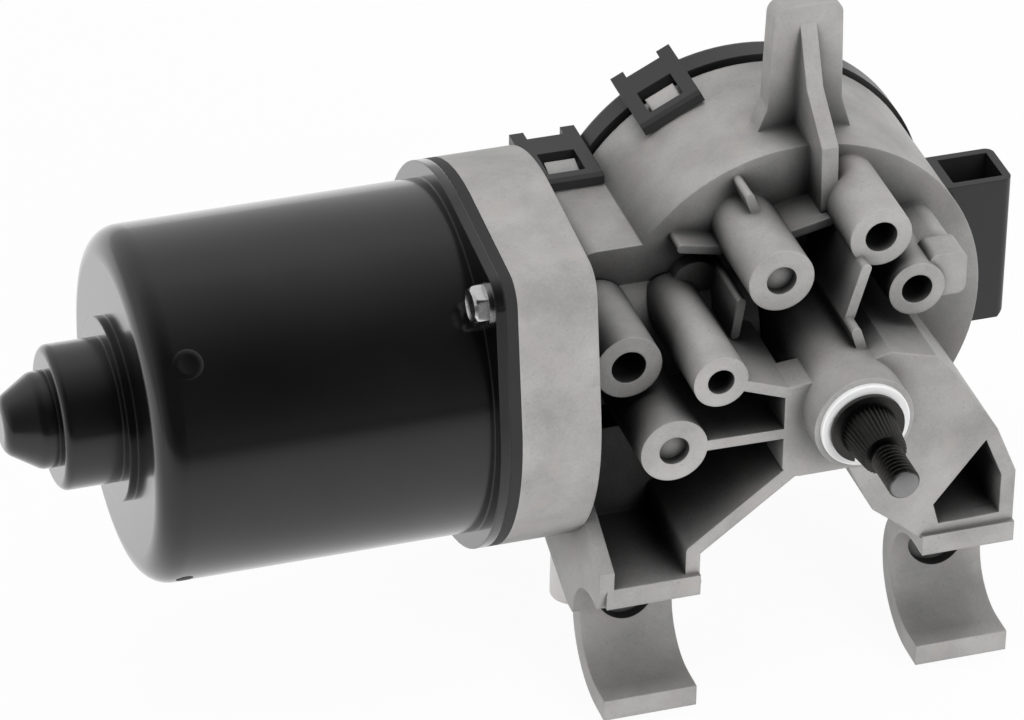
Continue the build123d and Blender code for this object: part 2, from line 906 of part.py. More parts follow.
def case_cavity():
    """The hollow of the gear case: its outline less the worm barrel and the hub's back end."""
    with BuildPart() as cavity:
        with BuildSketch(front(case_back_y)):
            case_outline(-case_wall)
        extrude(amount=case_back_y - case_floor_y)
        with BuildSketch(across(lobe_x - case_wall)):
            Circle(barrel_radius)
        extrude(amount=barrel_end_x - lobe_x + case_wall, mode=Mode.SUBTRACT)
        with BuildSketch(front(hub_back_y)):
            Circle(hub_back_radius)
        extrude(amount=2 * hub_back_y, mode=Mode.SUBTRACT)
        with BuildSketch(front(wheel_width / 2 + wheel_boss + 1.0)):
            with Locations((idler_x, idler_z)):
                Circle(wheel_radius + tooth_rise + 0.6)
        extrude(amount=wheel_width / 2 + wheel_boss + 1.0 - case_floor_y)
    return cavity.part


def saddle(middle_x):
    """A half-round cradle for a tube that runs along X, with its screw hole."""
    mouth_y = saddle_y - saddle_front
    start_x = middle_x - saddle_width / 2
    with BuildSketch(across(start_x)) as section:
        with Locations((saddle_y, saddle_z)):
            Circle(saddle_outer)
        with Locations(((mouth_y + saddle_y) / 2, saddle_z)):
            Rectangle(saddle_front, 2 * saddle_outer)
        with Locations((mouth_y - saddle_outer / 2, saddle_z)):
            Rectangle(saddle_outer, 2 * saddle_outer, mode=Mode.SUBTRACT)
        with Locations((saddle_y, saddle_z)):
            Circle(saddle_radius, mode=Mode.SUBTRACT)
        with Locations(((mouth_y + saddle_y) / 2, saddle_z)):
            Rectangle(saddle_front, 2 * saddle_radius, mode=Mode.SUBTRACT)
    extrude(section.sketch, amount=saddle_width)
    hole_z = saddle_z + saddle_hole_rise
    bore(middle_x, hole_z, mouth_y, saddle_front + saddle_outer + 2, saddle_hole_radius)
    bore(middle_x, hole_z, mouth_y, saddle_front + saddle_radius + counterbore_depth, counterbore_radius)


def right_arm_outline():
    """Front of the arm that carries the right saddle, from the hub down to the saddle."""
    end_x = saddle_right_x + saddle_width / 2
    start_x = saddle_right_x - saddle_width / 2
    foot_z = saddle_roof_z
    Polygon(
        (-6, 5),
        (7, 9),
        (15.4, 6.6),
        (18.8, 2.7),
        (27.6, -10.6),
        (end_x, -20),
        (end_x, foot_z - 1),
        (start_x, foot_z - 1),
        (start_x - 4, foot_z + 2.5),
        (start_x - 9.5, foot_z + 7),
        (0, -13),
        (-6, -13),
        align=None,
    )


def left_wall_outline():
    """Side plate of the left arm, seen along the motor shaft."""
    roof = saddle_roof_z
    Polygon(
        (saddle_y - saddle_front, roof),
        (saddle_y - saddle_front, roof + 3.5),
        (-28, roof + 7.5),
        (-21, roof + 11.5),
        (-8, roof + 16),
        (case_floor_y + 4, roof + 16),
        (case_floor_y + 4, roof - 6),
        (saddle_y + saddle_outer - 1, saddle_z),
        (saddle_y, saddle_z),
        align=None,
    )


def make_gear_housing():
    """Die-cast housing: bell, worm tube, gear case, hub, post, bosses, ribs and saddles."""
    with BuildPart() as housing:
        with BuildSketch(across(bell_x)):
            flange_outline()
        extrude(amount=bell_depth)
        with BuildSketch(across(bell_end_x)):
            Circle(tube_radius)
        extrude(amount=tube_end_x - bell_end_x)
        with BuildSketch(front(case_back_y)):
            case_outline(0)
        extrude(amount=case_back_y - case_front_y)
        boss(0, 0, hub_face_y, case_front_y, hub_radius)
        boss(idler_x, idler_z, case_floor_y - pin_boss_depth - 1.4, case_front_y, pin_boss_radius)
        add_front_frame()
        saddle(saddle_left_x)
        saddle(saddle_right_x)
        add_post()
        add_bosses()
        add_case_barbs()
        add_vent_boss()
        add(case_cavity(), mode=Mode.SUBTRACT)
        cut_shaft_bores()
    return housing


def add_front_frame():
    """Ribs and arms between the hub, the bosses and the saddles."""
    left_x = saddle_left_x - saddle_width / 2
    right_end = saddle_left_x + saddle_width / 2
    roof_z = saddle_roof_z - web_wall / 2
    with BuildSketch(front(case_front_y)) as arm:
        right_arm_outline()
        offset(amount=-web_wall, kind=Kind.INTERSECTION, mode=Mode.SUBTRACT)
    extrude(arm.sketch, amount=case_front_y - web_y)
    with BuildSketch(front(web_y + web_wall)) as plate:
        right_arm_outline()
        end_x = saddle_right_x + saddle_width / 2
        Polygon(
            (26.4, -11.5),
            (end_x - 1.8, -19.6),
            (end_x - 1.8, saddle_roof_z + 1.8),
            (17.6, saddle_roof_z + 1.4),
            (16.4, -24.4),
            align=None,
            mode=Mode.SUBTRACT,
        )
    extrude(plate.sketch, amount=web_wall)
    with BuildSketch(front(web_y + 8)) as web:
        Polygon((-12, 5), (0, 6), (0, -13.5), (-9, -13.5), (-12, -11.5), align=None)
    extrude(web.sketch, amount=8)
    knee = (right_end - 1.2, saddle_roof_z + 4.5)
    wall((-9.4, -11.6), knee, web_wall, web_y, case_front_y)
    wall(knee, (right_end - 1.2, roof_z), web_wall, web_y, case_front_y)
    wall((left_x + 1.2, roof_z), (right_end - 1.2, roof_z), web_wall, web_y - 1, case_front_y + 4)
    wall((-11.4, -4.2), (-31.8, -3.9), rib_wall, web_y, case_front_y)
    wall((-11.4, 4.0), (-23.8, 8.6), rib_wall, web_y, case_front_y)
    with BuildSketch(across(left_x - 1.4)) as side:
        left_wall_outline()
    extrude(side.sketch, amount=web_wall)
    with BuildSketch(front(-10)) as floor_plate:
        Polygon(
            (left_x, saddle_roof_z - 1),
            (right_end - 1, saddle_roof_z - 1),
            (right_end + 4, -12),
            (left_x, -12),
            align=None,
        )
    extrude(floor_plate.sketch, amount=web_wall)


def add_post():
    """Upright locating post with its foot and the deep rib in front."""
    foot_z = case_radius - 4
    half = post_width / 2
    with BuildSketch(front(post_y + post_thickness / 2)) as blade:
        Polygon(
            (post_x - half - 3, foot_z),
            (post_x - half, foot_z + 8),
            (post_x - half + 0.6, post_top_z),
            (post_x + half - 0.6, post_top_z),
            (post_x + half, foot_z + 8),
            (post_x + half + 3, foot_z - 2),
            align=None,
        )
        top = blade.vertices().group_by(Axis.Z)[-1]
        fillet(top, radius=2.4)
    extrude(blade.sketch, amount=post_thickness)
    face_y = post_y - post_thickness / 2
    with BuildSketch(across(post_x - post_rib_width / 2)) as rib:
        Polygon(
            (face_y + 1, post_top_z - 1.5),
            (face_y - 4.5, 44),
            (-11, 37),
            (-12, 25),
            (case_front_y - 1, 19),
            (face_y + 1, 19),
            align=None,
        )
    extrude(rib.sketch, amount=post_rib_width)


def add_bosses():
    """Screw bosses and blind ejector bosses that stand along the output shaft."""
    blind = 2.7
    boss(-37.3, 8.4, -25, -6, 6.0)
    boss(-23.8, 8.6, web_y, -6, 4.9)
    boss(8.0, 26.0, -24, case_front_y + 6, boss_radius)
    boss(14.7, 14.9, -25, case_front_y, 5.1)
    boss(-31.8, -3.9, web_y, -6, 6.0)
    boss(-10.2, 21.0, -25, case_front_y, 5.9)
    with BuildSketch(front(-18)) as lug:
        with Locations((20.6, 16.2)):
            RectangleRounded(7.0, 8.4, 1.6)
    extrude(lug.sketch, amount=6)
    wall((14.7, 14.9), (21.5, 16.2), 6.4, -22, case_front_y)
    wall((4.4, 22.0), (1.6, 12.0), 1.8, -27, case_front_y)
    wall((1.6, 12.0), (3.2, 7.0), 1.8, -31, case_front_y)
    wall((-10.2, 26.0), (-11.6, 30.0), 1.6, -12, case_front_y)
    wall((-5.0, 22.4), (2.4, 24.0), 1.6, -14, case_front_y)
    wall((-16.0, 19.0), (-23.0, 20.5), 1.6, -10, case_front_y)
    wall((-15.4, 14.4), (-16.4, 8.0), 1.6, -20, case_front_y)
    bore(-37.3, 8.4, -25, 12, 3.1)
    bore(-23.8, 8.6, web_y, 12, 2.4)
    bore(8.0, 26.0, -24, 14, boss_hole_radius)
    bore(14.7, 14.9, -25, 12, 2.8)
    bore(-31.8, -3.9, web_y, 2, blind)
    bore(-10.2, 21.0, -25, 2, blind)


def add_case_barbs():
    """Wedges on the case wall that the cover's latches snap over."""
    length = 4.2
    start_y = cover_back_y - latch_reach + 0.3
    for place in latch_places():
        with BuildSketch(place) as barb:
            Polygon(
                (start_y, -1.5),
                (start_y, latch_gap + 0.4),
                (start_y + length, latch_gap + 1.6),
                (start_y + length, -1.5),
                align=None,
            )
        extrude(barb.sketch, amount=(latch_width - 2 * latch_bar - 1.2) / 2, both=True)


def latch_places():
    """Planes at the latches: local x runs along Y, local y points out of the case wall."""
    places = []
    for angle in (latch_angle, low_latch_angle):
        a = math.radians(angle)
        out = (math.cos(a), 0, math.sin(a))
        foot = (case_radius * out[0], 0, case_radius * out[2])
        places.append(latch_plane(foot, out))
    for side in (1, -1):
        places.append(latch_plane((lobe_latch_x, 0, side * lobe_half), (0, 0, side)))
    return places


def latch_plane(foot, out):
    """A plane through foot that holds the Y direction and the outward direction."""
    x_dir = Vector(0, 1, 0)
    z_dir = x_dir.cross(Vector(*out))
    return Plane(origin=foot, x_dir=x_dir, z_dir=z_dir)


def add_vent_boss():
    """Boss under the case's lobe with the spigot of the vent tube."""
    start_z = -lobe_half + case_wall
    end_z = -lobe_half - vent_boss_length
    with BuildSketch(level(start_z)) as stem:
        with Locations((vent_x, vent_y)):
            Circle(vent_radius + 0.6)
    extrude(stem.sketch, amount=end_z - start_z)
    with BuildSketch(level(end_z)) as spigot:
        with Locations((vent_x, vent_y)):
            Circle(vent_bore - seat_gap)
    extrude(spigot.sketch, amount=-vent_spigot)


def cut_shaft_bores():
    """Bell hollow, worm bore, bush seats, hub bore, the idler pin's seat and the tube's way."""
    with BuildSketch(across(bell_x)) as mouth:
        Circle(bell_inner)
    extrude(mouth.sketch, amount=brush_plate_thickness, mode=Mode.SUBTRACT)
    with BuildSketch(across(bell_x)) as hollow:
        Circle(bell_inner - 2.0)
    extrude(hollow.sketch, amount=bell_depth - bell_floor, mode=Mode.SUBTRACT)
    with BuildSketch(across(worm_bush_x)) as seat:
        Circle(worm_bush_radius)
    extrude(seat.sketch, amount=worm_bush_length, mode=Mode.SUBTRACT)
    with BuildSketch(across(worm_bush_x)) as tunnel:
        Circle(worm_bore)
    extrude(tunnel.sketch, amount=end_bush_x - worm_bush_x, mode=Mode.SUBTRACT)
    with BuildSketch(across(end_bush_x)) as socket:
        Circle(end_bush_radius)
    depth = end_bush_length + side_gap + thrust_thickness
    extrude(socket.sketch, amount=depth, mode=Mode.SUBTRACT)
    with BuildSketch(across(saddle_left_x - saddle_width)) as cradle:
        with Locations((saddle_y, saddle_z)):
            Circle(saddle_radius)
    extrude(cradle.sketch, amount=saddle_spacing + 2 * saddle_width, mode=Mode.SUBTRACT)
    bore(0, 0, hub_face_y, hub_back_y - hub_face_y, hub_bore)
    bore(idler_x, idler_z, case_floor_y - pin_boss_depth, pin_boss_depth + 4, idler_pin_radius + seat_gap)
    with BuildSketch(across(bell_x)) as screws:
        with Locations((-lug_y, lug_z), (lug_y, -lug_z)):
            Circle(screw_radius + seat_gap)
    extrude(screws.sketch, amount=screw_reach + 1, mode=Mode.SUBTRACT)


def make_cover_seal():
    """Flat seal between the case's rim and the cover, set in from the case wall."""
    with BuildPart() as seal:
        with BuildSketch(front(cover_front_y)):
            case_outline(-seal_inset + 0.4)
            case_outline_inside()
        extrude(amount=seal_thickness)
    return seal


def case_outline_inside():
    """The opening inside the case wall, taken out of the sketch in work."""
    left = lobe_x + case_wall
    with Locations((left / 2, 0)):
        RectangleRounded(-left, 2 * (lobe_half - case_wall), lobe_corner - case_wall, mode=Mode.SUBTRACT)
    Circle(case_inner, mode=Mode.SUBTRACT)


def make_gear_cover():
    """Shallow plastic cover with four snap latches, pin boss and contact posts."""
    inner_y = cover_back_y - cover_wall
    with BuildPart() as cover:
        with BuildSketch(front(cover_back_y)):
            case_outline(cover_overhang)
        extrude(amount=cover_depth)
        back_edges = cover.edges().group_by(Axis.Y)[-1]
        fillet(back_edges, radius=1.6)
        with BuildSketch(front(inner_y)):
            case_outline(-case_wall)
        extrude(amount=cover_depth - cover_wall, mode=Mode.SUBTRACT)
        boss(idler_x, idler_z, cover_front_y - 2.4, inner_y, idler_pin_radius + 2.2)
        bore(idler_x, idler_z, cover_front_y - 2.4, pin_end_y() - cover_front_y + 2.6, idler_pin_radius + seat_gap)
        with BuildSketch(front(inner_y)) as stand:
            with Locations((24.5, contact_z)):
                Rectangle(5, 4 * contact_pitch)
        extrude(amount=cover_depth - cover_wall - 0.4)
        add_cover_latches()
        add_connector_ear()
    return cover


def add_cover_latches():
    """Open frames that reach forward from the cover's rim over the case wall."""
    low = latch_gap
    high = latch_gap + latch_thickness
    end_y = cover_back_y - latch_reach - latch_bar
    tail_y = cover_back_y + latch_tail
    half = latch_width / 2
    for place in latch_places():
        with BuildSketch(place) as leg:
            Polygon((end_y, low), (end_y, high - 0.4), (end_y + 1, high), (tail_y, high), (tail_y, low), align=None)
        extrude(leg.sketch, amount=half, both=True)
        with BuildSketch(place) as window:
            Polygon(
                (end_y + latch_bar, low - 0.4),
                (end_y + latch_bar, high + 1),
                (cover_front_y - 0.6, high + 1),
                (cover_front_y - 0.6, low - 0.4),
                align=None,
            )
            Polygon(
                (cover_back_y - 0.8, cover_overhang + 0.01),
                (cover_back_y - 0.8, high + 1),
                (tail_y + 1, high + 1),
                (tail_y + 1, cover_overhang + 0.01),
                align=None,
            )
        extrude(window.sketch, amount=half - latch_bar, both=True, mode=Mode.SUBTRACT)


def connector_neck():
    """Height range of the connector's neck that meets the cover's ear."""
    low = connector_top_z - connector_height + 1.5
    return low, low + 16.0


def add_connector_ear():
    """Ear of the cover that the connector's neck stands on."""
    low, high = connector_neck()
    with BuildSketch(front(cover_front_y + 3)) as ear:
        Polygon(
            (case_inner - 4, low + 1),
            (connector_right_x - 1.5, low + 1),
            (connector_right_x - 1.5, high - 1),
            (case_inner - 1, high - 1),
            align=None,
        )
        Circle(case_radius - 1, mode=Mode.SUBTRACT)
    extrude(ear.sketch, amount=3)


def make_connector_shroud():
    """Plug housing that opens upwards beside the case, with its key ribs and neck."""
    low_z = connector_top_z - connector_height
    back_y = connector_front_y + connector_depth
    neck_low, neck_high = connector_neck()
    wall_t = connector_wall
    with BuildPart() as shroud:
        with BuildSketch(front(back_y)):
            Polygon(
                (connector_left_x, low_z),
                (connector_right_x - 1.4, low_z),
                (connector_right_x, low_z + 1.4),
                (connector_right_x, connector_top_z),
                (connector_left_x, connector_top_z),
                align=None,
            )
        extrude(amount=connector_depth)
        upright = shroud.edges().filter_by(Axis.Z).group_by(Axis.X)[-1]
        fillet(upright, radius=1.6)
        with BuildSketch(front(cover_front_y)):
            Polygon(
                (connector_left_x, neck_low),
                (connector_right_x - 1.5, neck_low),
                (connector_right_x - 1.5, neck_high),
                (connector_left_x, neck_high),
                align=None,
            )
        extrude(amount=cover_front_y - back_y + 1)
        with BuildSketch(level(connector_top_z)):
            Polygon(*socket_corners(), align=None)
        extrude(amount=-socket_depth, mode=Mode.SUBTRACT)
        with BuildSketch(across(connector_left_x + 3.2)):
            Polygon(
                (connector_front_y + 1, connector_top_z),
                (connector_front_y + 1, connector_top_z - 9),
                (connector_front_y - 9, connector_top_z - 9),
                align=None,
            )
        extrude(amount=1.2)
        with BuildSketch(front(cover_front_y)):
            Circle(case_radius + side_gap)
        extrude(amount=2 * case_back_y, mode=Mode.SUBTRACT)
        for slot in range(pin_count):
            with BuildSketch(level(connector_top_z - socket_depth)):
                with Locations((pin_x(slot), pin_y())):
                    Rectangle(pin_width, pin_thickness)
            extrude(amount=-4, mode=Mode.SUBTRACT)
    return shroud


def socket_corners():
    """The four corners of the connector's socket, seen from above."""
    left = connector_left_x + 5.0
    right = connector_right_x - connector_wall
    fore = connector_front_y + connector_wall
    rear = connector_front_y + connector_depth - connector_wall
    return (left, fore), (right, fore), (right, rear), (left, rear)


def pin_x(slot):
    """Place of one contact blade across the socket."""
    left, right = socket_corners()[0][0], socket_corners()[1][0]
    return (left + right) / 2 + (slot - (pin_count - 1) / 2) * (right - left) / pin_count


def pin_y():
    """Line of the contact blades, near the socket's rear wall."""
    return connector_front_y + connector_depth / 2 + 1.0


def make_connector_pins():
    """Flat contact blades that stand in the socket's floor."""
    floor_z = connector_top_z - socket_depth
    with BuildPart() as pins:
        for slot in range(pin_count):
            with BuildSketch(level(floor_z - 4)):
                with Locations((pin_x(slot), pin_y())):
                    Rectangle(pin_width, pin_thickness)
            extrude(amount=4 + pin_length)
    return pins


def make_park_contacts():
    """Three spring strips on the cover's stand that reach to the park disc."""
    tip_y = gear_back_y + park_thickness + side_gap
    strip = 0.4
    root_y = cover_back_y - cover_wall - (cover_depth - cover_wall - 0.4)
    with BuildPart() as contacts:
        for lane in (-1, 0, 1):
            z = contact_z + lane * contact_pitch
            reach = math.sqrt(((park_inner + park_outer) / 2 + lane * 1.1) ** 2 - z**2)
            with BuildSketch(Plane(origin=(0, 0, z), x_dir=(1, 0, 0), z_dir=(0, 0, 1))):
                Polygon(
                    (26.0, root_y),
                    (26.0, root_y - strip),
                    (22.4, root_y - strip),
                    (reach + 1.5, tip_y),
                    (reach, tip_y),
                    (reach - 1.2, tip_y + 0.7),
                    (reach - 0.9, tip_y + 0.9),
                    (reach, tip_y + strip),
                    (reach + 1.3, tip_y + strip),
                    (22.0, root_y),
                    align=None,
                )
            extrude(amount=1.0, both=True)
    return contacts


def make_vent_tube():
    """White vent tube pushed over the spigot under the case."""
    start_z = -lobe_half - vent_boss_length
    with BuildPart() as tube:
        with BuildSketch(level(start_z)):
            with Locations((vent_x, vent_y)):
                Circle(vent_radius)
                Circle(vent_bore, mode=Mode.SUBTRACT)
        extrude(amount=-vent_length)
        low_rim = tube.edges().filter_by(GeomType.CIRCLE).group_by(Axis.Z)[0]
        fillet(low_rim.sort_by(SortBy.RADIUS)[-1:], radius=0.8)
    return tube


os.makedirs("parts", exist_ok=True)

motor_can = make_motor_can()
save(motor_can, "motor_can")
flange_gasket = make_flange_gasket()
save(flange_gasket, "flange_gasket")
flange_screws = make_flange_screws()
save(flange_screws, "flange_screws")
rear_bush = make_rear_bush()
save(rear_bush, "rear_bush")
bush_spring_plate = make_bush_spring_plate()
save(bush_spring_plate, "bush_spring_plate")
magnets = make_magnets()
save(magnets, "magnets")
armature_shaft = make_armature_shaft()
save(armature_shaft, "armature_shaft")
armature_core = make_armature_core()
save(armature_core, "armature_core")
armature_windings = make_armature_windings()
save(armature_windings, "armature_windings")
commutator_hub = make_commutator_hub()
save(commutator_hub, "commutator_hub")
commutator_bars = make_commutator_bars()
save(commutator_bars, "commutator_bars")
brush_plate = make_brush_plate()
save(brush_plate, "brush_plate")
brush_tubes = make_brush_tubes()
save(brush_tubes, "brush_tubes")
carbon_brushes = make_carbon_brushes()
save(carbon_brushes, "carbon_brushes")
brush_springs = make_brush_springs()
save(brush_springs, "brush_springs")
choke_coils = make_choke_coils()
save(choke_coils, "choke_coils")
worm_bush = make_worm_bush()
save(worm_bush, "worm_bush")
end_bush = make_end_bush()
save(end_bush, "end_bush")
thrust_button = make_thrust_button()
save(thrust_button, "thrust_button")
gear_housing = make_gear_housing()
save(gear_housing, "gear_housing")
worm_wheel = make_worm_wheel()
save(worm_wheel, "worm_wheel")
idler_pinion = make_idler_pinion()
save(idler_pinion, "idler_pinion")
idler_pin = make_idler_pin()
save(idler_pin, "idler_pin")
output_gear = make_output_gear()
save(output_gear, "output_gear")
gear_carrier = make_gear_carrier()
save(gear_carrier, "gear_carrier")
park_disc = make_park_disc()
save(park_disc, "park_disc")
output_shaft = make_output_shaft()
save(output_shaft, "output_shaft")
shaft_clip = make_shaft_clip()
save(shaft_clip, "shaft_clip")
shaft_washer = make_shaft_washer()
save(shaft_washer, "shaft_washer")
gear_washer = make_gear_washer()
save(gear_washer, "gear_washer")
shaft_bushes = make_shaft_bushes()
save(shaft_bushes, "shaft_bushes")
shaft_seal = make_shaft_seal()
save(shaft_seal, "shaft_seal")
cover_seal = make_cover_seal()
save(cover_seal, "cover_seal")
gear_cover = make_gear_cover()
save(gear_cover, "gear_cover")
connector_shroud = make_connector_shroud()
save(connector_shroud, "connector_shroud")
connector_pins = make_connector_pins()
save(connector_pins, "connector_pins")
park_contacts = make_park_contacts()
save(park_contacts, "park_contacts")
vent_tube = make_vent_tube()
save(vent_tube, "vent_tube")
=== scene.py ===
# %% [markdown]
# # A wiper motor, dressed in Blender
#
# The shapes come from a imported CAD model: a black motor can, a die-cast gear case with
# two cradles for a frame tube, a plastic cover with snap latches and a plug housing, and a
# dark splined shaft. They stay where they are. This lesson gives every piece its finish,
# makes the pieces that are too fine for the CAD model, and sets up a small photo studio.
#
# Blender's unit is the metre. X runs along the motor shaft from the can to the gear case,
# the output shaft points to -Y, and Z is up. Sizes of pieces are written in millimetres.

import math

import bmesh
import bpy
from mathutils import Matrix, Vector


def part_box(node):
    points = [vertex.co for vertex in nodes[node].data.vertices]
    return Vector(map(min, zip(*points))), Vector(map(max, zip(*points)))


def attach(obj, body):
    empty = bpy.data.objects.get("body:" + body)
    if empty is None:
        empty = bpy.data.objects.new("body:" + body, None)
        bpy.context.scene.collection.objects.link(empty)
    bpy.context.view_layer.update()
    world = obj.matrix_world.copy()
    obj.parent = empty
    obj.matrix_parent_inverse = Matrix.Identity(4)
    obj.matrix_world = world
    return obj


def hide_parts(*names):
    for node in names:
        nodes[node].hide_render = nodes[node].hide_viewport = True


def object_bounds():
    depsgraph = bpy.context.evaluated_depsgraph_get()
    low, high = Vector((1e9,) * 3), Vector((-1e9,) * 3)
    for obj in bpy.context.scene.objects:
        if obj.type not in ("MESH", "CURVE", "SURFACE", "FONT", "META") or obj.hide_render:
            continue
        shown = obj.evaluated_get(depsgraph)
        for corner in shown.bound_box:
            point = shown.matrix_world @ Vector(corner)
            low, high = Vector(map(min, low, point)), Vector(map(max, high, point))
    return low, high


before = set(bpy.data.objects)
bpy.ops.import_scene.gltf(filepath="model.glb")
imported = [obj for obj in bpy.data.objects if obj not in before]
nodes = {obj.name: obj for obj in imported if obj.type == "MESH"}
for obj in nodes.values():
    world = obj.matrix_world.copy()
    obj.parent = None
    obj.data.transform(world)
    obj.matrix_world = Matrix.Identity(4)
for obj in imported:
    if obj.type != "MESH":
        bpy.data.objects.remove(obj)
cad_low, cad_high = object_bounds()
MM = 0.001
print("pieces:", len(nodes), "size in mm:", [round(v / MM, 1) for v in cad_high - cad_low])

# %% [markdown]
# ## Arithmetic on shader values
#
# A procedural finish is mostly arithmetic: a noise pattern times a strength, or one minus a
# mask. Wiring Math nodes by hand hides that, so a small class wraps a socket and turns the
# usual operators into Math nodes. A second class holds one material. Its `node` method makes
# any other node from its type, its settings and what goes into its sockets.

# %% A wrapped socket


class Value:
    """A number that varies over a surface. Arithmetic on it adds Math nodes."""

    def __init__(self, finish, socket):
        self.finish = finish
        self.socket = socket

    def combine(self, operation, *terms):
        return self.finish.node("ShaderNodeMath", {"operation": operation}, dict(enumerate(terms)))

    def __add__(self, other):
        return self.combine("ADD", self, other)

    def __rsub__(self, other):
        return self.combine("SUBTRACT", other, self)

    def __mul__(self, other):
        return self.combine("MULTIPLY", self, other)

    def __pow__(self, other):
        return self.combine("POWER", self, other)


# %% A finish


class Finish:
    """One material: a Principled shader and the nodes that feed it."""

    def __init__(self, name, **constants):
        self.material = bpy.data.materials.new(name)
        self.material.use_nodes = True
        self.tree = self.material.node_tree
        self.tree.nodes.clear()
        self.shader = self.tree.nodes.new("ShaderNodeBsdfPrincipled")
        for socket, value in constants.items():
            self.shader.inputs[socket.replace("_", " ")].default_value = value
        out = self.tree.nodes.new("ShaderNodeOutputMaterial")
        self.tree.links.new(self.shader.outputs[0], out.inputs[0])
        self.place = self.node("ShaderNodeTexCoord", {}, {}, "Object")

    def node(self, kind, settings, sockets, output=0):
        """Make a node: its settings come first, then values or links for its sockets."""
        made = self.tree.nodes.new(kind)
        for name, value in settings.items():
            setattr(made, name, value)
        for name, value in sockets.items():
            if isinstance(value, Value):
                self.tree.links.new(value.socket, made.inputs[name])
            else:
                made.inputs[name].default_value = value
        return Value(self, made.outputs[output])

    def feed(self, **values):
        """Link values to the Principled shader's sockets."""
        for name, value in values.items():
            self.tree.links.new(value.socket, self.shader.inputs[name.replace("_", " ")])

    def stretched(self, x, y, z):
        """Object coordinates scaled along each axis."""
        settings = {"operation": "MULTIPLY"}
        return self.node("ShaderNodeVectorMath", settings, {0: self.place, 1: (x, y, z)})

    def noise(self, size_mm, detail=3.0, roughness=0.55, place=None):
        """Cloudy noise from 0 to 1 whose blotches are about size_mm across."""
        sockets = {"Vector": place or self.place, "Scale": 1 / (size_mm * MM), "Detail": detail}
        sockets["Roughness"] = roughness
        return self.node("ShaderNodeTexNoise", {}, sockets)

    def between(self, value, start, end, low, high):
        """Map the range start to end of a value onto low to high, and clamp it."""
        sockets = {0: value, 1: start, 2: end, 3: low, 4: high}
        return self.node("ShaderNodeMapRange", {}, sockets)

    def mix(self, mask, first, second):
        """Mix two colours by a mask."""
        settings = {"data_type": "RGBA"}
        return self.node("ShaderNodeMix", settings, {0: mask, 6: first, 7: second}, 2)

    def rounded(self, radius_mm):
        """A normal that turns softly over each edge, as a moulded or cast edge does."""
        return self.node("ShaderNodeBevel", {"samples": 6}, {"Radius": radius_mm * MM})

    def edges(self, radius_mm):
        """One along edges and nought on flat and gently curved places."""
        flat = self.node("ShaderNodeNewGeometry", {}, {}, "Normal")
        turned = self.rounded(radius_mm)
        settings = {"operation": "DOT_PRODUCT"}
        along = self.node("ShaderNodeVectorMath", settings, {0: flat, 1: turned}, "Value")
        return self.between(along, 0.80, 0.99, 1.0, 0.0)

    def recess(self, reach_mm):
        """One in the open and nought deep in a pocket of the same piece, a mask for painted shade.
        """
        settings = {"only_local": True, "samples": 8}
        sockets = {"Distance": reach_mm * MM}
        return self.node("ShaderNodeAmbientOcclusion", settings, sockets, "AO")

    def bump(self, height, depth_mm, strength, under=None):
        """A normal from a height pattern that is depth_mm deep."""
        sockets = {"Height": height, "Distance": depth_mm * MM, "Strength": strength}
        if under is not None:
            sockets["Normal"] = under
        return self.node("ShaderNodeBump", {}, sockets)


def grey(level, warm=0.0):
    """A grey, a little warmer or colder, as a colour with full alpha."""
    return (level * (1 + warm), level, level * (1 - warm), 1.0)


# %% [markdown]
# ## The die-cast housing
#
# The housing is an aluminium casting, tumbled and lightly blasted. Its skin is a soft grey
# with a fine sandy grain. Flat areas differ a little in tone, because the metal chills
# unevenly in the die. Layers of noise give that: slow clouds for the tone, faint warm
# stains, a fine grain for the blasting, and sparse pits. Deep pockets get painted shade:
# their colour goes almost black where an occlusion mask finds them closed in. Edges are
# rubbed a little brighter. The grain goes to the bump too, since a blasted surface is
# grainy in its shape, not only in its colour.

# %% Cast aluminium
PAINTED_SHADE_REACH = 28.0
casting = Finish("cast_aluminium", Metallic=0.3)
clouds = casting.noise(13.0, detail=4.0)
grain = casting.noise(0.55, detail=4.0, roughness=0.7)
sand = casting.noise(0.22, detail=2.0)
pits = casting.between(casting.noise(0.7, detail=1.0), 0.24, 0.33, 1.0, 0.0)
tone = casting.between(clouds * 0.7 + grain * 0.3, 0.36, 0.64, 0.0, 1.0)
blots = casting.noise(7.0, detail=5.0, roughness=0.65)
stain = casting.between(blots, 0.50, 0.68, 0.0, 0.55)
skin = casting.mix(tone, grey(0.29, 0.012), grey(0.44, 0.014))
skin = casting.mix(stain, skin, (0.40, 0.365, 0.345, 1.0))
skin = casting.mix(casting.edges(0.5) * 0.5, skin, grey(0.58, 0.01))
skin = casting.mix(pits * 0.3, skin, grey(0.2))
# Painted shade: the colour goes almost black where the occlusion mask finds a closed-in pocket.
painted_shade_mask = casting.between(casting.recess(PAINTED_SHADE_REACH), 0.26, 0.82, 0.0, 1.0)
casting.feed(
    Base_Color=casting.mix(painted_shade_mask**1.3, grey(0.014), skin),
    Roughness=casting.between(grain, 0.3, 0.7, 0.50, 0.66),
    Normal=casting.bump(grain * 0.7 + sand * 0.3, 0.05, 0.6, casting.rounded(0.6)),
)
print("nodes in the casting's material:", len(casting.tree.nodes))

# %% [markdown]
# ## The black can
#
# The can is drawn steel with baked black enamel. Enamel is smooth and deep: a dark base
# under a clear coat with a very slight orange peel. Handling leaves faint hairlines and a
# dusty bloom that widens the highlights, so the roughness varies in slow clouds.

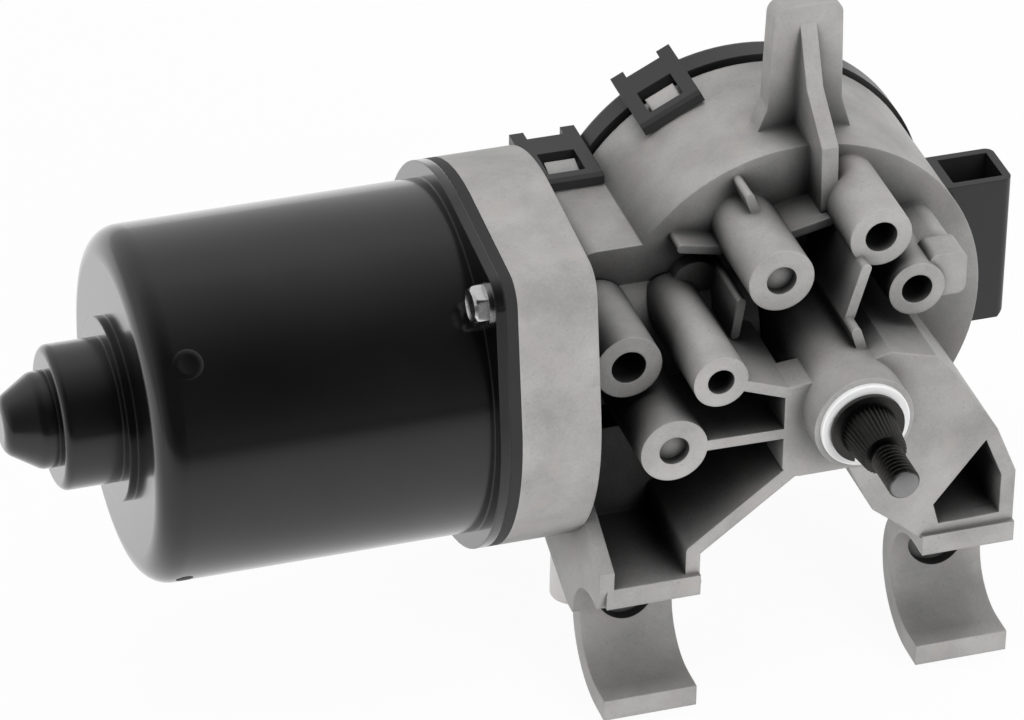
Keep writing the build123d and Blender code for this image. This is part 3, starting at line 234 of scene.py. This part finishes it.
# %% Black enamel
enamel = Finish("black_enamel", Metallic=0.0, IOR=1.5, Coat_Roughness=0.12)
bloom = enamel.noise(22.0, detail=3.0)
peel = enamel.noise(1.6, detail=1.0)
hair = enamel.noise(0.5, detail=2.0, place=enamel.stretched(0.04, 1.0, 1.0))
scuff = enamel.between(hair, 0.60, 0.70, 0.0, 1.0)
enamel.feed(
    Base_Color=enamel.mix(bloom, grey(0.0025), grey(0.0045)),
    Roughness=enamel.between(bloom, 0.3, 0.7, 0.16, 0.23) + scuff * 0.04,
    Coat_Weight=enamel.between(bloom, 0.3, 0.7, 0.15, 0.25),
    Normal=enamel.bump(peel, 0.01, 0.3, enamel.rounded(0.5)),
)
print("nodes in the enamel's material:", len(enamel.tree.nodes))

# %% [markdown]
# ## Moulded plastic, rubber and other pressed pieces
#
# The cover, the latches and the plug housing are black glass-filled plastic. Its skin is
# finely spark-eroded, so it is satin with a tight grain. One recipe serves every moulded
# or pressed piece, with its own colours, grain size and roughness.

# %% The recipe for moulded materials
MOULDED_SPREAD = 0.07


def moulded(name, dark, light, roughness, grain_mm=0.35, depth_mm=0.02):
    """A satin finish with a tight grain. Its tone and roughness drift a little."""
    finish = Finish(name, Metallic=0.0)
    slow = finish.noise(9.0, detail=3.0)
    fine = finish.noise(grain_mm, detail=3.0, roughness=0.6)
    smooth, rough = roughness - MOULDED_SPREAD, roughness + MOULDED_SPREAD
    finish.feed(
        Base_Color=finish.mix(slow * 0.6 + fine * 0.4, dark, light),
        Roughness=finish.between(fine * 0.5 + slow * 0.5, 0.3, 0.7, smooth, rough),
        Normal=finish.bump(fine, depth_mm, 0.5, finish.rounded(0.25)),
    )
    return finish


# %% Moulded materials
cover_black = moulded("cover_black", grey(0.012), grey(0.022), 0.42)
gasket_black = moulded("gasket_black", grey(0.014), grey(0.030), 0.7, 0.5, 0.03)
seal_rubber = moulded("seal_rubber", grey(0.012), grey(0.026), 0.62, 0.8)
vent_white = moulded("vent_white", grey(0.80, 0.03), grey(0.88, 0.02), 0.42, 0.6, 0.01)
gear_nylon = moulded("gear_nylon", grey(0.58, 0.05), grey(0.66, 0.04), 0.4, 0.5, 0.01)
wheel_resin = moulded("wheel_resin", (0.30, 0.20, 0.11, 1), (0.40, 0.28, 0.16, 1), 0.45, 0.4)
hub_resin = moulded("hub_resin", (0.10, 0.045, 0.02, 1), (0.17, 0.08, 0.04, 1), 0.4)
board_resin = moulded("board_resin", (0.13, 0.07, 0.035, 1), (0.20, 0.12, 0.06, 1), 0.55)
brush_carbon = moulded("brush_carbon", grey(0.015), grey(0.05), 0.55, 0.25, 0.03)
magnet_ferrite = moulded("magnet_ferrite", grey(0.05), grey(0.09), 0.6, 0.3, 0.03)
print("materials so far:", len(bpy.data.materials))

# %% [markdown]
# ## Bare metals
#
# The small metal pieces are turned, drawn, plated or sintered. They share one recipe too:
# a metallic base whose colour and roughness shift in soft clouds, fine tool marks drawn out
# along one axis, and a bump at the size of those marks.

# %% The recipe for metals
METAL_SPREAD = 0.08
EVEN = (1.0, 1.0, 1.0)


def bare_metal(
    name, dark, light, roughness, marks=EVEN, grain_mm=0.4, depth_mm=0.008, metallic=1.0
):
    """A metal with fine marks. A smaller share in marks draws them out along that axis."""
    finish = Finish(name, Metallic=metallic)
    slow = finish.noise(5.0, detail=3.0)
    lines = finish.noise(grain_mm, detail=3.0, roughness=0.6, place=finish.stretched(*marks))
    smooth, rough = roughness - METAL_SPREAD, roughness + METAL_SPREAD
    finish.feed(
        Base_Color=finish.mix(slow * 0.5 + lines * 0.5, dark, light),
        Roughness=finish.between(lines * 0.6 + slow * 0.4, 0.3, 0.7, smooth, rough),
        Normal=finish.bump(lines, depth_mm, 0.6),
    )
    return finish


# %% Steel and zinc
blackened = grey(0.035, 0.03), grey(0.085, 0.03)
bright_zinc = bare_metal("bright_zinc", grey(0.62), grey(0.80), 0.28, grain_mm=0.9)
washer_zinc = bare_metal("washer_zinc", grey(0.74), grey(0.88), 0.5, grain_mm=0.9, metallic=0.25)
ground_steel = bare_metal("ground_steel", grey(0.42), grey(0.56), 0.26, (0.1, 1.0, 1.0))
cut_steel = bare_metal("cut_steel", grey(0.28), grey(0.38), 0.36)
spring_steel = bare_metal("spring_steel", grey(0.36), grey(0.50), 0.3)
lamination_steel = bare_metal(
    "lamination_steel", grey(0.16), grey(0.30), 0.45, (2.0, 0.2, 0.2), 0.5, 0.03
)
black_steel = bare_metal("black_steel", *blackened, 0.42, grain_mm=0.7)
shaft_steel = bare_metal("shaft_steel", *blackened, 0.40, grain_mm=0.7)
print("materials so far:", len(bpy.data.materials))

# %% Bronze, brass and copper
bronze = (0.30, 0.19, 0.08, 1), (0.46, 0.31, 0.15, 1)
brass = (0.52, 0.36, 0.12, 1), (0.66, 0.48, 0.20, 1)
bare_copper = (0.45, 0.19, 0.09, 1), (0.62, 0.30, 0.16, 1)
coated_copper = (0.26, 0.08, 0.03, 1), (0.48, 0.17, 0.07, 1)
sinter_bronze = bare_metal("sinter_bronze", *bronze, 0.42, grain_mm=0.25)
strip_brass = bare_metal("strip_brass", *brass, 0.3)
bar_copper = bare_metal("bar_copper", *bare_copper, 0.32, (0.15, 1, 1))
wire_copper = bare_metal("wire_copper", *coated_copper, 0.34, (0.3, 3.0, 3.0), 0.8, 0.1)
print("materials so far:", len(bpy.data.materials))

# %% Give each piece of the model its finish
finishes = {
    casting: ["gear_housing"],
    enamel: ["motor_can"],
    cover_black: ["gear_cover", "connector_shroud"],
    gasket_black: ["flange_gasket"],
    seal_rubber: ["cover_seal", "shaft_seal"],
    vent_white: ["vent_tube"],
    gear_nylon: ["output_gear", "gear_washer"],
    wheel_resin: ["worm_wheel"],
    hub_resin: ["commutator_hub"],
    board_resin: ["brush_plate"],
    brush_carbon: ["carbon_brushes"],
    magnet_ferrite: ["magnets"],
    bright_zinc: ["flange_screws"],
    washer_zinc: ["shaft_washer"],
    ground_steel: ["armature_shaft", "idler_pin", "thrust_button"],
    cut_steel: ["idler_pinion", "gear_carrier"],
    spring_steel: ["bush_spring_plate", "brush_springs"],
    lamination_steel: ["armature_core"],
    black_steel: ["shaft_clip"],
    shaft_steel: ["output_shaft"],
    sinter_bronze: ["rear_bush", "worm_bush", "end_bush", "shaft_bushes"],
    strip_brass: ["brush_tubes", "park_disc", "park_contacts", "connector_pins"],
    bar_copper: ["commutator_bars"],
    wire_copper: ["armature_windings", "choke_coils"],
}
dressed = set()
for finish, names in finishes.items():
    for name in names:
        for slot in nodes[name].material_slots:
            slot.material = finish.material
        dressed.add(name)
print("pieces without a finish:", sorted(set(nodes) - dressed))

# %% [markdown]
# ## Turned and threaded pieces
#
# The output shaft carries a splined taper for the wiper crank and a thread for its nut. The
# CAD model has plain forms there, so the shaft is made again with real teeth and a real
# thread. It is a stack of rings along the shaft's axis: at each ring the radius may change
# with the angle. A toothed ring gives the spline, a ring whose dent moves on with the angle
# gives the thread, and a ring cut by six flats gives a screw head.

# %% A stack of rings
SHARP_DEGREES = 38


def ring_stack(name, origin, axis, stations, sides, finish, body, closed=True):
    """Skin rings along an axis. A station is (distance in mm, radius in mm or by angle)."""
    axis = Vector(axis)
    side = axis.orthogonal().normalized()
    other = axis.cross(side)
    points = []
    faces = []
    for distance, radius in stations:
        for step in range(sides):
            angle = 2 * math.pi * step / sides
            reach = radius(angle) if callable(radius) else radius
            spoke = side * math.cos(angle) + other * math.sin(angle)
            points.append(origin + (axis * distance + spoke * reach) * MM)
    for ring in range(len(stations) - 1):
        for step in range(sides):
            first = ring * sides + step
            second = ring * sides + (step + 1) % sides
            faces.append((first, second, second + sides, first + sides))
    if closed:
        faces.append(tuple(reversed(range(sides))))
        faces.append(tuple(range(len(points) - sides, len(points))))
    mesh = bpy.data.meshes.new(name)
    mesh.from_pydata(points, [], faces)
    shell = bmesh.new()
    shell.from_mesh(mesh)
    bmesh.ops.remove_doubles(shell, verts=shell.verts, dist=0.00001 * MM)
    bmesh.ops.recalc_face_normals(shell, faces=shell.faces)
    shell.to_mesh(mesh)
    shell.free()
    mesh.shade_smooth()
    mesh.set_sharp_from_angle(angle=math.radians(SHARP_DEGREES))
    mesh.materials.append(finish.material)
    piece = bpy.data.objects.new(name, mesh)
    bpy.context.collection.objects.link(piece)
    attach(piece, body)
    return piece


# %% Sizes of the splined shaft
SHAFT_SIDES = 288
SHAFT_RADIUS = 5.0
SHAFT_CHAMFER = 0.5
GROOVE_DEPTH = 0.5
SPLINE_TEETH = 36
SPLINE_FLANK = 1.6
TAPER_LENGTH = 7.6
TAPER_SMALL_ROOT = 3.75
TAPER_LARGE_ROOT = 4.6
SMALL_TOOTH = 0.3
LARGE_TOOTH = 0.4
THREAD_PITCH = 1.0
THREAD_RADIUS = 2.9
THREAD_DEPTH = 0.5
THREAD_FLANK = 1.25
THREAD_LENGTH = 9.4
THREAD_RUNOUT = 1.0
THREAD_RING_STEP = 0.08
THREAD_FIRST_RING = 7
shaft_low, shaft_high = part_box("output_shaft")
clip_low, clip_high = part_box("shaft_clip")
tip = Vector(((shaft_low.x + shaft_high.x) / 2, shaft_low.y, (shaft_low.z + shaft_high.z) / 2))
print("the shaft's tip in mm:", [round(v / MM, 1) for v in tip])

# %% Rings of the thread and the spline


def thread_ring(distance):
    """The radius by angle at a distance along the thread."""

    def radius(angle):
        turn = (distance / THREAD_PITCH + angle / (2 * math.pi)) % 1.0
        return THREAD_RADIUS - THREAD_DEPTH * (1 - min(1.0, abs(2 * turn - 1) * THREAD_FLANK))

    return radius


def spline_ring(root, height):
    """The radius by angle of a ring of teeth."""

    def radius(angle):
        wave = math.cos(SPLINE_TEETH * angle)
        return root + height * (0.5 + 0.5 * max(-1.0, min(1.0, SPLINE_FLANK * wave)))

    return radius


# %% The splined shaft, from its tip to its inner end
stations = [(0.0, THREAD_RADIUS - 0.6), (0.05, THREAD_RADIUS - 0.5)]
last_ring = round((THREAD_LENGTH - THREAD_RUNOUT) / THREAD_RING_STEP)
for ring in range(THREAD_FIRST_RING, last_ring):
    distance = THREAD_RING_STEP * ring
    stations.append((distance, thread_ring(distance)))
taper_end = THREAD_LENGTH + TAPER_LENGTH
stations += [
    (THREAD_LENGTH - 0.9, THREAD_RADIUS - THREAD_DEPTH),
    (THREAD_LENGTH, THREAD_RADIUS - 0.4),
    (THREAD_LENGTH, 3.7),
    (THREAD_LENGTH + 0.4, spline_ring(TAPER_SMALL_ROOT, SMALL_TOOTH)),
    (taper_end, spline_ring(TAPER_LARGE_ROOT, LARGE_TOOTH)),
    (taper_end, SHAFT_RADIUS),
]
groove_start = (clip_low.y - tip.y) / MM
groove_end = (clip_high.y - tip.y) / MM
shaft_end = (shaft_high.y - tip.y) / MM
stations += [
    (groove_start, SHAFT_RADIUS),
    (groove_start, SHAFT_RADIUS - GROOVE_DEPTH),
    (groove_end, SHAFT_RADIUS - GROOVE_DEPTH),
    (groove_end, SHAFT_RADIUS),
    (shaft_end - SHAFT_CHAMFER, SHAFT_RADIUS),
    (shaft_end, SHAFT_RADIUS - SHAFT_CHAMFER),
]
splined_shaft = ring_stack(
    "splined_shaft", tip, (0, 1, 0), stations, SHAFT_SIDES, shaft_steel, "output"
)
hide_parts("output_shaft")
print("rings along the shaft:", len(stations))

# %% [markdown]
# The shaft's end face is lighter than its blackened skin, as on a bar that was cut to length
# afterwards. A mask from the distance along the shaft picks out its first few tenths of a
# millimetre.

# %% The shaft's lighter end face
along = shaft_steel.node("ShaderNodeSeparateXYZ", {}, {0: shaft_steel.place}, "Y")
end_face = shaft_steel.between(along, tip.y, tip.y + 0.4 * MM, 1.0, 0.0)
black_skin = Value(shaft_steel, shaft_steel.shader.inputs["Base Color"].links[0].from_socket)
shaft_steel.feed(Base_Color=shaft_steel.mix(end_face, black_skin, grey(0.3)))
print("nodes in the shaft's material:", len(shaft_steel.tree.nodes))

# %% [markdown]
# ## Small marks on the can
#
# The can has a shallow pressed dimple and a dark drain mark near its closed end. Each is a
# low stack of rings that is bent afterwards to follow the can, so that it has no hard edge.

# %% A place on the can
CAN_RADIUS = 31.0
AXES = Vector((6.0, 19.1, 41.6)) * MM


def on_can(x, angle):
    """A point on the can by its distance along the axis in mm and its angle, and the way out."""
    out = Vector((0, -math.cos(math.radians(angle)), math.sin(math.radians(angle))))
    return AXES + (Vector((x, 0, 0)) + out * CAN_RADIUS) * MM, out


def can_mark(name, x, angle, shape, sides, finish):
    """A small raised mark, bent so that it follows the can's curve."""
    place, out = on_can(x, angle)
    mark = ring_stack(name, place, out, shape, sides, finish, "base")
    across = Vector((1, 0, 0)).cross(out)
    for vertex in mark.data.vertices:
        offset = (vertex.co - place).dot(across)
        vertex.co -= out * (offset * offset / (2 * CAN_RADIUS * MM))


# %% The dimple and the drain mark
shape = [(-0.3, 3.0), (0.0, 2.6), (0.06, 2.3), (0.11, 2.05), (0.13, 1.85)]
shape += [(0.11, 1.6), (0.06, 1.2), (0.03, 0.6), (0.03, 0.1)]
can_mark("can_dimple", -113.9, 44.0, shape, 48, enamel)
shape = [(-0.3, 1.5), (0.04, 1.5), (0.10, 1.35), (0.06, 1.1), (0.02, 0.9), (0.02, 0.1)]
can_mark("can_drain_mark", -114.9, -46.0, shape, 40, gasket_black)

# %% [markdown]
# ## The washer and the flange screws
#
# A wide bright washer lies behind the clip on the shaft. Two plated screws with chamfered
# hexagon heads hold the can's flange. They sit where the CAD model has its screws.

# %% The washer
WASHER_RADIUS = 8.0
WASHER_BORE = 5.3
WASHER_EDGE_HIGH = 0.2
WASHER_EDGE_WIDE = 0.25
washer_low, washer_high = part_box("shaft_washer")
thick = (washer_high.y - washer_low.y) / MM
shape = [
    (0.0, WASHER_BORE),
    (0.0, WASHER_RADIUS - WASHER_EDGE_WIDE),
    (WASHER_EDGE_HIGH, WASHER_RADIUS),
    (thick, WASHER_RADIUS),
    (thick, WASHER_BORE),
    (0.0, WASHER_BORE),
]
origin = Vector((tip.x, washer_low.y, tip.z))
washer = ring_stack("bright_washer", origin, (0, 1, 0), shape, 96, washer_zinc, "base", False)
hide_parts("shaft_washer")
print("the washer's thickness in mm:", round(thick, 2))

# %% A ring with six flats
SCREW_FLAT = 3.1
SCREW_HEIGHT = 3.0
HEX_LIMIT = 3.9
COLLAR_HIGH = 0.5
COLLAR_RADIUS = 3.6
SHANK_RADIUS = 2.0


def hex_ring(limit):
    """Six flats, rounded off where the limit is smaller."""

    def radius(angle):
        nearest = (angle + math.pi / 6) % (math.pi / 3) - math.pi / 6
        return min(SCREW_FLAT / math.cos(nearest), limit)

    return radius


# %% The flange screws
screws_low, screws_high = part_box("flange_screws")
corner = SCREW_FLAT / math.cos(math.pi / 6) * MM
length = (screws_high.x - screws_low.x) / MM
collar = SCREW_HEIGHT - COLLAR_HIGH
shape = [(0.55, 1.6), (0.45, 2.0), (0.0, 2.5), (0.05, hex_ring(2.9)), (0.5, hex_ring(3.4))]
shape += [(0.8, hex_ring(HEX_LIMIT)), (collar, hex_ring(HEX_LIMIT)), (collar, COLLAR_RADIUS)]
shape += [(SCREW_HEIGHT, COLLAR_RADIUS), (SCREW_HEIGHT, SHANK_RADIUS)]
shape += [(length - 0.6, SHANK_RADIUS), (length, 1.5)]
front_high = Vector((screws_low.x, screws_low.y + corner, screws_high.z - corner))
back_low = Vector((screws_low.x, screws_high.y - corner, screws_low.z + corner))
heads = []
for place in (front_high, back_low):
    name = "flange_screw_%d" % len(heads)
    heads.append(ring_stack(name, place, (1, 0, 0), shape, 72, bright_zinc, "base"))
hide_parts("flange_screws")
print("screw heads at:", [[round(v / MM, 1) for v in h.bound_box[0]] for h in heads])

# %% [markdown]
# ## A white sweep
#
# The motor is shown on plain white. A large floor does that. To the camera it looks white.
# To the mirror-like rays of glossy pieces it is bright behind the motor and fades to dark
# towards the photographer. For all other rays it is a pale matt surface that sends soft
# light up under the motor and takes its shadow.

# %% The floor
FLOOR_GAP = 0.0015
FLOOR_HALF = 6.0
level = cad_low.z - FLOOR_GAP
corners = [(-1, -1), (1, -1), (1, 1), (-1, 1)]
floor_mesh = bpy.data.meshes.new("floor")
points = [(x * FLOOR_HALF, y * FLOOR_HALF, level) for x, y in corners]
floor_mesh.from_pydata(points, [], [(0, 1, 2, 3)])
floor = bpy.data.objects.new("floor", floor_mesh)
bpy.context.collection.objects.link(floor)
print("the floor's height in mm:", round(level / MM, 1))

# %% The floor's material
sweep = Finish("white_sweep", Roughness=0.9, Metallic=0.0)
sweep.feed(Base_Color=sweep.mix(sweep.noise(300.0), grey(0.78), grey(0.80)))
seen = sweep.node("ShaderNodeLightPath", {}, {}, "Is Camera Ray")
mirrored = sweep.node("ShaderNodeLightPath", {}, {}, "Is Glossy Ray")
floor_y = sweep.node("ShaderNodeSeparateXYZ", {}, {0: sweep.place}, "Y")
fading = sweep.between(floor_y, -0.75, -0.06, 0.06, 0.93)
behind = sweep.between(floor_y, 0.0, 0.08, 0.0, 0.4)
strength = seen + (1 - seen) * (fading + behind)
white = sweep.node("ShaderNodeEmission", {}, {"Color": grey(1.0), "Strength": strength})
matt = Value(sweep, sweep.shader.outputs[0])
factor = sweep.between(seen + mirrored, 0.0, 1.0, 0.0, 0.95)
mixed = sweep.node("ShaderNodeMixShader", {}, {0: factor, 1: matt, 2: white})
surface = sweep.tree.nodes["Material Output"].inputs["Surface"]
sweep.tree.links.new(mixed.socket, surface)
floor_mesh.materials.append(sweep.material)
print("nodes in the floor's material:", len(sweep.tree.nodes))

# %% [markdown]
# ## The world
#
# The world is white where the camera sees it. Mirror-like rays see a bright studio behind
# and above the motor and a dark room behind the photographer, which is what keeps the front
# of the black can black. All other rays get a weak, even light.

# %% Nodes of the world
# The way to the dark room, and the range of facing it mapped to the brightness seen there.
DARK_ROOM = (-0.262, -0.794, 0.548)
ROOM_RANGE = (0.10, 0.88, 0.80, 0.02)
world = bpy.data.worlds.new("studio")
bpy.context.scene.world = world
world.use_nodes = True
sky = world.node_tree
background = sky.nodes["Background"]
path = sky.nodes.new("ShaderNodeLightPath")
direction = sky.nodes.new("ShaderNodeTexCoord")
facing = sky.nodes.new("ShaderNodeVectorMath")
facing.operation = "DOT_PRODUCT"
facing.inputs[1].default_value = DARK_ROOM
sky.links.new(direction.outputs["Generated"], facing.inputs[0])
room = sky.nodes.new("ShaderNodeMapRange")
sky.links.new(facing.outputs["Value"], room.inputs[0])
for index, value in enumerate(ROOM_RANGE):
    room.inputs[index + 1].default_value = value
print("nodes in the world:", len(sky.nodes))

# %% What each kind of ray sees
EVEN_LIGHT = 0.2


def picked(test, high, low):
    """One value where the test is one, and another where it is nought."""
    made = sky.nodes.new("ShaderNodeMix")
    sky.links.new(test, made.inputs[0])
    for index, value in ((2, low), (3, high)):
        if isinstance(value, float):
            made.inputs[index].default_value = value
        else:
            sky.links.new(value, made.inputs[index])
    return made.outputs[0]


unseen = picked(path.outputs["Is Glossy Ray"], room.outputs[0], EVEN_LIGHT)
shown = picked(path.outputs["Is Camera Ray"], 1.0, unseen)
sky.links.new(shown, background.inputs["Strength"])
background.inputs["Color"].default_value = grey(1.0)
print("nodes in the world:", len(sky.nodes))

# %% [markdown]
# ## Soft light
#
# A broad softbox hangs over the motor. A weaker one at the left lights the can's end, and
# one in front opens the shadows in the casting. Mirror-like rays don't see the lamps, so the
# can shows only the studio's soft gradient.

# %% Lamps
target = (cad_low + cad_high) / 2


def softbox(name, place, size, watts):
    """A square area lamp that faces the motor."""
    light = bpy.data.lights.new(name, "AREA")
    light.size = size
    light.energy = watts
    lamp = bpy.data.objects.new(name, light)
    lamp.location = place
    lamp.rotation_mode = "QUATERNION"
    lamp.rotation_quaternion = (target - Vector(place)).to_track_quat("-Z", "Y")
    bpy.context.collection.objects.link(lamp)
    lamp.visible_glossy = False


softbox("overhead", place=(-0.05, -0.05, 1.1), size=0.9, watts=9.0)
softbox("left", place=(-1.05, -0.35, 0.30), size=0.6, watts=6.0)
softbox("front", place=(0.45, -1.10, 0.55), size=0.7, watts=11.0)
print("lamps:", [light.name for light in bpy.data.lights])

# %% [markdown]
# ## The camera
#
# The view was found by matching seventeen points of the model, and the can's outline, with
# the photograph. It looks through a long lens from the front left, down by about
# thirty-three degrees. The camera's place is counted from the point where the motor's axis
# and the output shaft's axis cross when seen from the front.

# %% Camera
LENS = 220.5
SENSOR = 36.0
DISTANCE = 1100.0
TO_THE_LEFT = 47.66
DOWN = 10.62
right = Vector((0.95255, -0.30402, 0.01502)).normalized()
back = Vector((-0.26213, -0.79419, 0.54823))
back = (back - right * back.dot(right)).normalized()
up = back.cross(right)
camera_data = bpy.data.cameras.new("camera")
camera = bpy.data.objects.new("camera", camera_data)
bpy.context.collection.objects.link(camera)
camera_data.sensor_width = SENSOR
camera_data.lens = LENS
place = AXES + (back * DISTANCE - right * TO_THE_LEFT - up * DOWN) * MM
turn = Matrix((right, up, back)).transposed()
camera.matrix_world = Matrix.Translation(place) @ turn.to_4x4()
camera_data.clip_start = 0.05
camera_data.clip_end = 50.0
bpy.context.scene.camera = camera
bpy.context.scene.view_settings.view_transform = "Standard"
print("lens in mm:", round(camera_data.lens, 1), "from", [round(v, 3) for v in place])
